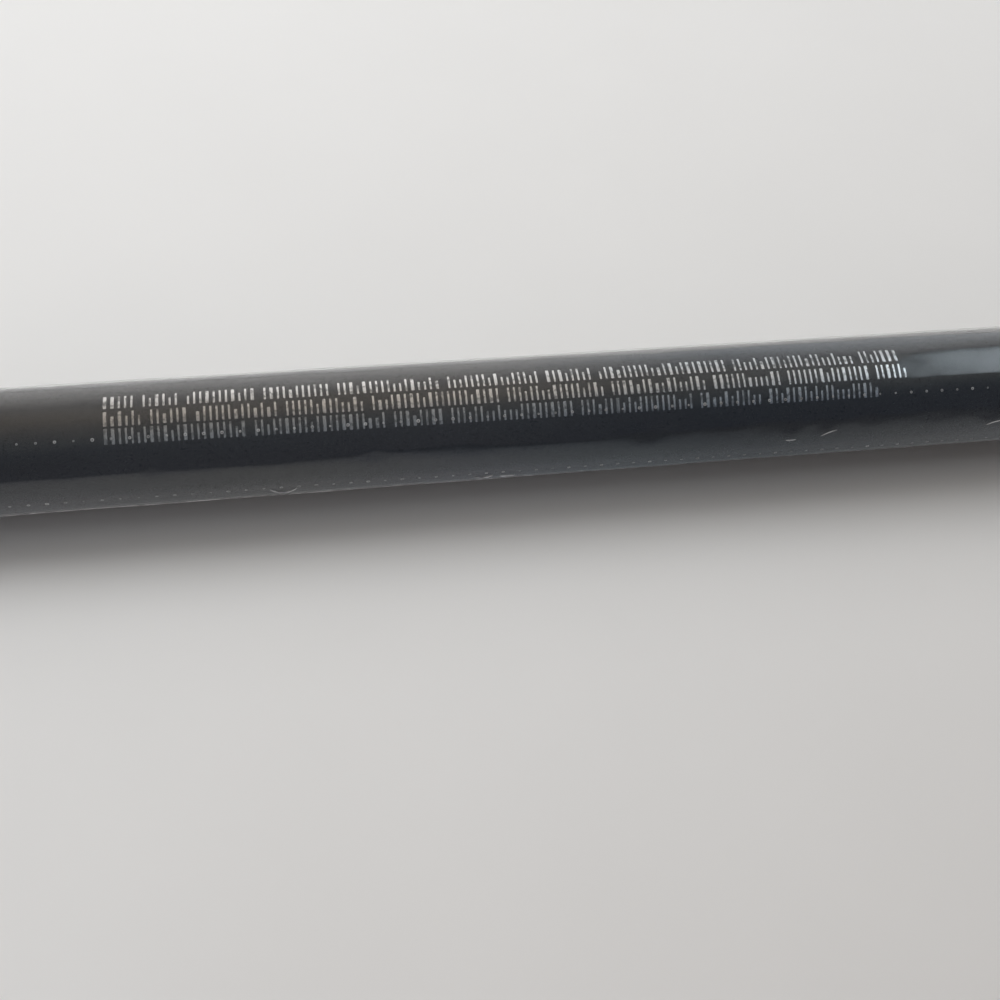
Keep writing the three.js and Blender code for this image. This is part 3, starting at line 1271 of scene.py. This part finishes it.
@dataclass
class ShrinkFilm:
    """The film round the barrel and the cap, with its tear strip, its wrinkles and its parted edge."""

    axis: Axis
    wall: float = 0.02
    barrel_rows: int = 250
    cap_rows: int = 150
    scallops: int = 22
    scallop_depth: float = 0.16
    scallop_sharpness: int = 6
    rows_of_holes: tuple[PinholeRow, ...] = (
        PinholeRow(57.4, 48.7),
        PinholeRow(-6.5, -15.5, size=0.19, height=0.095),
    )
    drift: tuple[float, float] = (32.5, 93.5)
    row_start: float = 26.7
    row_margin: float = 0.6
    hole_spread: float = 0.3
    lap: float = 58.0
    pleats: int = 26
    pleat_height: float = 0.03
    bumps: tuple[Bump, ...] = (
        Bump(37.9, 25.0, 0.8, 0.5, 0.02),
        Bump(39.7, 24.0, 0.7, 0.55, -0.05),
        Bump(45.0, 25.0, 0.9, 0.5, 0.02),
        Bump(53.4, 24.0, 0.8, 0.55, -0.05),
        Bump(58.8, 24.0, 1.6, 0.55, -0.035),
        Bump(66.0, 25.0, 2.2, 0.5, 0.018),
        Bump(79.0, 24.0, 0.9, 0.6, -0.05),
        Bump(86.0, 24.0, 1.2, 0.6, -0.045),
        Bump(91.2, 23.0, 2.6, 0.6, -0.058),
    )
    drapes: tuple[Drape, ...] = (
        Drape(71.0, 1.25),
        Drape(80.85, 0.75),
        Drape(83.1, 0.8),
        Drape(94.9, 1.0),
    )
    creases: tuple[Crease, ...] = (
        Crease(47.6, -21.5, 1.75, 0.7, 0.075),
        Crease(60.4, -22.0, 1.3, 0.4, 0.075),
        Crease(62.05, -22.0, 1.05, 0.05, 0.07),
        Crease(80.9, 7.2, 0.75, 0.03, 0.05),
        Crease(83.5, 13.2, 1.14, -0.05, 0.04, slant=21.0),
        Crease(95.45, 11.6, 1.3, -0.06, 0.04, slant=14.0),
    )
    crease_steps: int = 14
    crease_blunt: float = 0.02
    seam_angle: float = -34.0
    seam_wander: float = 1.2
    seam_wave: float = 5.0
    seam_margins: tuple[float, float] = (0.2, 0.4)
    seam_steps: int = 150
    seam_thickness: tuple[float, float] = (0.058, 0.006)
    seam_thin_from: float = 72.0

    THICKNESS = "thickness"

    def scalloped(self, angle: float) -> float:
        """How far the parted edge falls short, between the half pinholes that it was torn along."""
        wave = abs(math.cos(math.radians(angle) * self.scallops / 2))
        return self.scallop_depth * wave**self.scallop_sharpness

    def barrel_relief(self) -> FilmRelief:
        """Work out the relief of the film round the barrel.

        Returns:
            The relief, with its bumps and sags.
        """
        span = Span.of("barrel_film", self.axis)
        sagging = tuple(bump for drape in self.drapes for bump in drape.bumps())
        return FilmRelief(span.radius, bumps=self.bumps + sagging)

    def barrel_sheet(self) -> None:
        """Build and dress the film round the barrel."""
        span = Span.of("barrel_film", self.axis)
        relief = self.barrel_relief()
        sheet = FilmSheet(relief, self.wall, self.barrel_rows)

        def outline(share: float, angle: float) -> tuple[float, float]:
            """Radius and station of the film, straight behind and scalloped at the cap's seam."""
            front = span.front - self.scalloped(angle)
            return relief.base, span.rear + share * (front - span.rear)

        piece = sheet.build("barrel_film_sheet", outline, self.axis)
        Place("barrel", Finish.FILM, "shrink_film", ("barrel_film",)).settle(piece)

    def barrel_pinholes(self) -> None:
        """Build and dress the perforations of the tear strip on the barrel."""
        front = Span.of("barrel_film", self.axis).front - self.row_margin
        self.pinholes("film_pinholes", "barrel", self.row_start, front, self.barrel_relief())

    def pinholes(self, name: str, body: str, rear: float, front: float, relief: FilmRelief) -> None:
        """Build and dress both rows of perforations on one piece of film.

        Args:
            name: Name of the piece.
            body: Body that the film rides on.
            rear: Station of the first pinhole.
            front: Station that the rows stop at.
            relief: The film's relief.
        """
        spots: list[Vector] = []
        sizes: list[Vector] = []
        for row in self.rows_of_holes:
            found = row.spots(rear, front, self.drift, relief, self.axis)
            spots.extend(found)
            sizes.extend([Vector((row.size, row.size, row.height))] * len(found))
        pattern = SurfacePattern(Motif.PINHOLE_RIM, relief.base, self.hole_spread)
        piece = pattern.build(name, spots, sizes, self.axis, Finish.PINHOLE)
        Place(body, Finish.PINHOLE, "shrink_film").settle(piece)

    def cap_sheet(self) -> None:
        """Build and dress the film round the cap, drawn in over its shoulder."""
        span = Span.of("cap_film", self.axis)
        cap = Span.of("cap_shell", self.axis)
        shoulder = Cap(self.axis).shoulder
        relief = FilmRelief(span.radius, ripple=0.02, crinkle=0.006, highest=0.02)
        sheet = FilmSheet(relief, self.wall, self.cap_rows)
        bend = cap.front - shoulder
        lap = math.radians(self.lap)
        flat_end = cap.radius - shoulder
        arc = (relief.base - flat_end) * lap

        def outline(share: float, angle: float) -> tuple[float, float]:
            """Follow the film from its scalloped edge to its pleats over the shoulder.

            Args:
                share: Share of the film's length.
                angle: Angle round the centre line.

            Returns:
                Radius and station of the film.
            """
            rear = span.rear + self.scalloped(angle)
            reach = rear + share * (bend + arc - rear)
            if reach <= bend:
                return relief.base, reach
            turn = (reach - bend) / arc * lap
            pleat = self.pleat_height * math.sin(math.radians(angle) * self.pleats) * (turn / lap) ** 2
            off = relief.base - flat_end + pleat
            return flat_end + off * math.cos(turn), bend + off * math.sin(turn)

        piece = sheet.build("cap_film_sheet", outline, self.axis)
        Place("cap", Finish.FILM, "shrink_film", ("cap_film",)).settle(piece)
        self.pinholes("cap_film_pinholes", "cap", span.rear + self.row_margin, bend, relief)

    def crease_tree(self) -> GeometryTree:
        """Build the node tree that sweeps a tapering ridge along lines.

        Returns:
            The tree.
        """
        nodes = GeometryTree("crease_ridges", {"Lines": "Geometry", "Finish": "Material"})
        line = nodes.add("GeometryNodeMeshToCurve", {"Mesh": nodes.given["Lines"]})
        size = nodes.add("GeometryNodeInputNamedAttribute", {"Name": self.THICKNESS}, data_type="FLOAT")
        wire = nodes.add("GeometryNodeCurvePrimitiveCircle", {"Resolution": 8, "Radius": 1.0})
        swept = nodes.add(
            "GeometryNodeCurveToMesh",
            {
                "Curve": line.outputs["Curve"],
                "Profile Curve": wire.outputs["Curve"],
                "Scale": size.outputs["Attribute"],
                "Fill Caps": True,
            },
        )
        real = nodes.add("GeometryNodeRealizeInstances", {"Geometry": swept.outputs["Mesh"]})
        nodes.deliver(real.outputs["Geometry"])
        return nodes

    def crease_line(self, crease: Crease) -> list[tuple[float, float, float]]:
        """Lay out a fold's arc, tapered at both ends.

        Args:
            crease: The fold.

        Returns:
            Stations, angles and thicknesses along it.
        """
        radius = Span.of("barrel_film", self.axis).radius
        line = []
        for step in range(self.crease_steps + 1):
            share = 2 * step / self.crease_steps - 1
            along = share * crease.length / 2
            rise = crease.sag * share * share + along * math.tan(math.radians(crease.slant))
            taper = math.sqrt(max(self.crease_blunt, 1 - share * share))
            angle = crease.angle + math.degrees(rise / radius)
            line.append((crease.station + along, angle, crease.thickness * taper))
        return line

    def seam_line(self) -> list[tuple[float, float, float]]:
        """Lay out the film's welded seam, thinner towards the cap.

        Returns:
            Stations, angles and thicknesses along it.
        """
        span = Span.of("barrel_film", self.axis)
        rear = span.rear + self.seam_margins[0]
        length = span.front - self.seam_margins[1] - rear
        thick, thin = self.seam_thickness
        line = []
        for step in range(self.seam_steps + 1):
            station = rear + length * step / self.seam_steps
            wave = noise.noise(Vector((station / self.seam_wave, 0.0, 0.0)))
            angle = self.seam_angle + self.seam_wander * wave
            thinned = min(1.0, (station - rear) / (self.seam_thin_from - rear))
            line.append((station, angle, thick + thinned * (thin - thick)))
        return line

    def folds(self) -> None:
        """Build and dress the film's welded seam and the short sharp folds near the tear strip."""
        relief = self.barrel_relief()
        points: list[Vector] = []
        edges: list[tuple[int, int]] = []
        radii: list[float] = []
        lines = [self.seam_line()] + [self.crease_line(crease) for crease in self.creases]
        for line in lines:
            for index, (station, angle, thickness) in enumerate(line):
                if index:
                    edges.append((len(points) - 1, len(points)))
                radius = relief.base + relief.lift(station, angle)
                points.append(self.axis.point(station, radius, angle))
                radii.append(thickness * MM)
        piece = new_object("film_folds", points, edges)
        attribute = piece.data.attributes.new(self.THICKNESS, "FLOAT", "POINT")
        attribute.data.foreach_set("value", radii)
        self.crease_tree().apply(piece, {"Finish": Finish.CREASE.material()})
        Place("barrel", Finish.CREASE, "shrink_film").settle(piece)


@dataclass(frozen=True)
class PrintRow:
    """A row of bars: the station that it stops at, and its angle at both ends."""

    front: float
    rear_angle: float
    front_angle: float


@dataclass
class PrintBlock:
    """Three rows of plain silver bars on the barrel, in groups."""

    axis: Axis
    rear: float = 37.2
    rows: tuple[PrintRow, ...] = (
        PrintRow(88.7, 92.8, 89.3),
        PrintRow(88.9, 75.2, 71.5),
        PrintRow(86.8, 58.9, 54.0),
    )
    height: float = 0.965
    thickness: float = 0.012
    bar_widths: tuple[float, ...] = (0.13, 0.13, 0.13, 0.2)
    bar_heights: tuple[float, ...] = (1.0, 1.0, 1.0, 0.66)
    bar_gap: float = 0.24
    group_gap: float = 0.6
    group_sizes: tuple[int, int] = (5, 22)
    seed: int = 31

    def build(self) -> None:
        """Lay out and dress the bars."""
        radius = Span.of("barrel", self.axis).radius
        draw = random.Random(self.seed)
        spots: list[Vector] = []
        sizes: list[Vector] = []
        for row in self.rows:
            station = self.rear
            left = draw.randint(*self.group_sizes)
            while station < row.front:
                width = draw.choice(self.bar_widths)
                height = self.height * draw.choice(self.bar_heights)
                share = (station - self.rear) / (row.front - self.rear)
                angle = row.rear_angle + share * (row.front_angle - row.rear_angle)
                angle -= math.degrees((self.height - height) / 2 / radius)
                spots.append(self.axis.flat(station + width / 2, angle, radius))
                sizes.append(Vector((width, height, self.thickness)))
                left -= 1
                station += width + (self.bar_gap if left else self.group_gap)
                left = left or draw.randint(*self.group_sizes)
        pattern = SurfacePattern(Motif.PRINT_BAR, radius)
        piece = pattern.build("print_bars", spots, sizes, self.axis, Finish.PRINT)
        Place("barrel", Finish.PRINT).settle(piece)


@dataclass(frozen=True)
class Mechanism:
    """The inner pieces, which keep the shape of their CAD nodes."""

    nodes: Mapping[str, bpy.types.Object]

    FINISHES = {
        "retaining_ring": Finish.NATURAL,
        "guide_tube": Finish.NATURAL,
        "spiral_tube": Finish.NATURAL,
        "brake_ring": Finish.RUBBER,
        "lead_carrier": Finish.CARRIER,
    }

    def dress(self) -> None:
        """Give the nodes their finishes."""
        for name, finish in self.FINISHES.items():
            materials = self.nodes[name].data.materials
            materials.clear()
            materials.append(finish.material())
            LOG.info("%s keeps its shape", name)


@dataclass(frozen=True)
class PhotoCamera:
    """Camera that sees the barrel's upper and the film's lower outline where the photograph has them.

    The outlines are given as the rows at which they meet the picture's left and right borders, in pixels.
    """

    picture: float = 1000.0
    focal: float = 1300.0
    top_outline: tuple[float, float] = (389.4, 327.7)
    bottom_outline: tuple[float, float] = (516.15, 440.25)
    elevation: float = 52.0
    middle_station: float = 62.0
    sensor: float = 36.0
    nearest_seen: float = 0.002

    def outline_plane(self, rows: tuple[float, float]) -> np.ndarray:
        """Work out the plane through the camera and an outline.

        Args:
            rows: Rows at which the outline meets the left and the right border.

        Returns:
            The plane's unit normal, pointing up in the picture.
        """
        half = self.picture / 2
        left, right = ((half * side, row - half, self.focal) for side, row in zip((-1, 1), rows))
        normal = np.cross(left, right)
        return -normal / np.linalg.norm(normal)

    def build(self, axis: Axis) -> bpy.types.Object:
        """Solve the camera's place from the outlines and make it.

        Args:
            axis: The pencil's centre line.

        Returns:
            The camera.
        """
        radii = (Span.of("barrel", axis).radius * MM, Span.of("barrel_film", axis).radius * MM)
        top = -self.outline_plane(self.top_outline)
        bottom = self.outline_plane(self.bottom_outline)
        along = np.cross(bottom, top)
        along *= math.copysign(1 / np.linalg.norm(along), along[0])
        nearest = np.linalg.solve(np.array((top, bottom, along)), np.array((*radii, 0.0)))
        to_camera = -nearest / np.linalg.norm(nearest)
        over = np.cross(to_camera, along)
        over *= math.copysign(1.0, -over[1])
        tilt = math.radians(self.elevation)
        up = math.sin(tilt) * to_camera + math.cos(tilt) * over
        away = np.cross(up, along)
        turn = Matrix(np.array((along, away, up)).tolist())
        slide = -nearest[0] / along[0]
        middle = axis.point(self.middle_station, 0.0, 0.0)
        seen = Vector((nearest + slide * along).tolist())
        place = middle - turn @ seen
        lens = turn @ Matrix(((1, 0, 0), (0, -1, 0), (0, 0, -1)))
        data = bpy.data.cameras.new("photo_camera")
        data.sensor_width = self.sensor
        data.lens = self.focal / self.picture * self.sensor
        data.clip_start = self.nearest_seen
        camera = bpy.data.objects.new("photo_camera", data)
        camera.matrix_world = Matrix.Translation(place) @ lens.to_4x4()
        bpy.context.scene.collection.objects.link(camera)
        bpy.context.scene.camera = camera
        LOG.info("camera at %s", [round(part, 4) for part in place])
        return camera


@dataclass(frozen=True)
class Softbox:
    """A plain rectangular studio light that faces the frame's origin, which mirrors do not show."""

    name: str
    place: tuple[float, float, float]
    size: tuple[float, float]
    power: float
    colour: Colour
    upward: tuple[float, float, float] = (0.0, 0.0, 1.0)

    def build(self) -> None:
        """Make the light, in metres and watts."""
        data = bpy.data.lights.new(self.name, "AREA")
        data.shape = "RECTANGLE"
        data.size, data.size_y = self.size
        data.energy = self.power
        data.color = self.colour
        light = bpy.data.objects.new(self.name, data)
        back = Vector(self.place).normalized()
        side = Vector(self.upward).cross(back).normalized()
        turn = Matrix((side, back.cross(side), back)).transposed()
        light.matrix_world = Matrix.Translation(self.place) @ turn.to_4x4()
        light.visible_camera = False
        light.visible_glossy = False
        light.visible_transmission = False
        bpy.context.scene.collection.objects.link(light)


@dataclass(frozen=True)
class Studio:
    """Floor, soft surround, three softboxes, a card that mirrors see and a flag that shades a corner.

    The surround's stops are degrees from the near horizon, over the top, to the far one.
    The stops across are degrees from the plane square to the pencil, towards its cap.
    """

    floor_size: float = 3.0
    surround: Stops = (
        (0.0, (0.20, 0.21, 0.25)),
        (44.0, (0.22, 0.24, 0.28)),
        (60.0, (0.33, 0.35, 0.37)),
        (82.0, (0.45, 0.435, 0.42)),
        (100.0, (0.66, 0.595, 0.53)),
        (116.0, (0.74, 0.68, 0.62)),
        (128.0, (0.70, 0.67, 0.64)),
        (142.0, (1.04, 1.0, 0.97)),
        (158.0, (1.06, 1.03, 1.01)),
        (180.0, (0.88, 0.86, 0.845)),
    )
    surround_across: Stops = (
        (-24.0, (0.36, 0.30, 0.25)),
        (-14.0, grey(1.0)),
        (8.0, grey(1.0)),
        (19.0, (0.70, 0.76, 0.82)),
        (34.0, (0.80, 0.84, 0.88)),
        (40.0, (0.26, 0.24, 0.22)),
    )
    panel_up: Stops = (
        (75.0, grey(0.0)),
        (79.0, grey(0.9)),
        (96.0, grey(1.0)),
        (121.0, grey(0.85)),
        (136.0, grey(0.0)),
    )
    panel_across: Stops = (
        (25.0, grey(0.0)),
        (27.7, (1.5, 1.7, 1.84)),
        (30.0, (2.3, 2.6, 2.8)),
        (34.0, (2.4, 2.7, 2.9)),
        (38.0, grey(0.0)),
    )
    backdrop: Colour = grey(0.78)
    softboxes: tuple[Softbox, ...] = (
        Softbox(
            "key",
            place=(-0.093, 0.109, 0.17),
            size=(0.062, 0.145),
            power=0.236,
            colour=(0.985, 0.995, 1.0),
            upward=(-1.2, -0.883, 0.469),
        ),
        Softbox(
            "fill",
            place=(0.13, 0.16, 0.128),
            size=(0.08, 0.08),
            power=0.11,
            colour=grey(1.0),
        ),
        Softbox(
            "bounce",
            place=(0.06, -0.29, 0.12),
            size=(0.2, 0.2),
            power=0.1,
            colour=(1.0, 0.79, 0.64),
        ),
    )
    flag_low: tuple[float, float, float] = (0.015, -0.115, 0.08)
    flag_high: tuple[float, float, float] = (0.115, -0.025, 0.08)
    mirrored_rise: float = 0.0001
    mirrored_edge: float = -0.002

    def card(
        self, name: str, low: Sequence[float], high: Sequence[float], finish: Finish
    ) -> bpy.types.Object:
        """Lay a level card between two corners, in metres, beside the part.

        Args:
            name: Name of the card.
            low: Corner with the lowest X and Y.
            high: Corner with the highest X and Y.
            finish: Finish of the card.

        Returns:
            The card.
        """
        points = [low, (high[0], low[1], low[2]), high, (low[0], high[1], low[2])]
        plane = new_object(name, points, faces=[(0, 1, 2, 3)])
        plane.data.materials.append(finish.material())
        return plane

    def cards(self) -> None:
        """Make the floor, the glowing card that paints the floor's reflection and that only mirrors see,
        and the flag that only shades.
        """
        half = self.floor_size / 2
        rise, edge = self.mirrored_rise, self.mirrored_edge
        self.card("floor", (-half, -half, 0.0), (half, half, 0.0), Finish.FLOOR)
        mirrored = self.card("mirrored", (-half, -half, rise), (half, edge, rise), Finish.MIRRORED)
        mirrored.visible_camera = False
        mirrored.visible_diffuse = False
        mirrored.visible_shadow = False
        flag = self.card("flag", self.flag_low, self.flag_high, Finish.FLAG)
        flag.visible_camera = False
        flag.visible_glossy = False
        flag.visible_transmission = False

    def world(self) -> None:
        """Make the surround: bright beyond the pencil, dim behind the camera, with a panel by the cap."""
        world = bpy.data.worlds.new("studio")
        world.use_nodes = True
        bpy.context.scene.world = world
        world.node_tree.nodes.clear()
        nodes = NodeBuilder(world.node_tree)
        ray = nodes.add("ShaderNodeSeparateXYZ", {0: nodes.add("ShaderNodeTexCoord").outputs["Generated"]})
        nearer = nodes.math("MULTIPLY", ray.outputs["Y"], -1.0)
        angle = nodes.math("ARCTAN2", ray.outputs["Z"], nearer)
        upward = nodes.math("DIVIDE", angle, math.pi)
        across = nodes.math("MULTIPLY", nodes.math("ADD", ray.outputs["X"], 1.0), 0.5)

        def over(stops: Stops) -> Socket:
            """Colour by the angle over the top."""
            return nodes.ramp(upward, [(degrees / 180, colour) for degrees, colour in stops])

        def along(stops: Stops) -> Socket:
            """Colour by the angle along the pencil."""
            places = [((1 + math.sin(math.radians(degrees))) / 2, colour) for degrees, colour in stops]
            return nodes.ramp(across, places)

        dome = nodes.product(over(self.surround), along(self.surround_across))
        panel = nodes.product(over(self.panel_up), along(self.panel_across))
        brighter = nodes.add("ShaderNodeVectorMath", {0: dome, 1: panel}, operation="MAXIMUM")
        light = nodes.add("ShaderNodeBackground", {"Color": brighter.outputs["Vector"]})
        back = nodes.add("ShaderNodeBackground", {"Color": (*self.backdrop, 1.0)})
        path = nodes.add("ShaderNodeLightPath")
        mix = nodes.add(
            "ShaderNodeMixShader",
            {
                0: path.outputs["Is Camera Ray"],
                1: light.outputs["Background"],
                2: back.outputs["Background"],
            },
        )
        nodes.add("ShaderNodeOutputWorld", {"Surface": mix.outputs["Shader"]})

    def build(self) -> None:
        """Make everything around the pencil."""
        self.cards()
        self.world()
        for softbox in self.softboxes:
            softbox.build()
        bpy.context.scene.view_settings.view_transform = "Standard"


def main() -> None:
    """Load the frame, then build and dress the pencil and its studio."""
    logging.basicConfig(level=logging.INFO, format="%(message)s")
    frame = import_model()
    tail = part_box("end_plug")[0].x
    low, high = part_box("barrel")
    axis = Axis(tail, (low.z + high.z) / 2)
    PhotoCamera().build(axis)
    casing = Casing(axis)
    casing.barrel()
    casing.knob()
    casing.plug()
    front = Front(axis)
    front.nozzle()
    front.lead()
    cap = Cap(axis)
    cap.shell()
    cap.sleeve()
    film = ShrinkFilm(axis)
    film.barrel_sheet()
    film.barrel_pinholes()
    film.folds()
    film.cap_sheet()
    PrintBlock(axis).build()
    Mechanism(frame["nodes"]).dress()
    Studio().build()


if __name__ == "__main__":
    main()
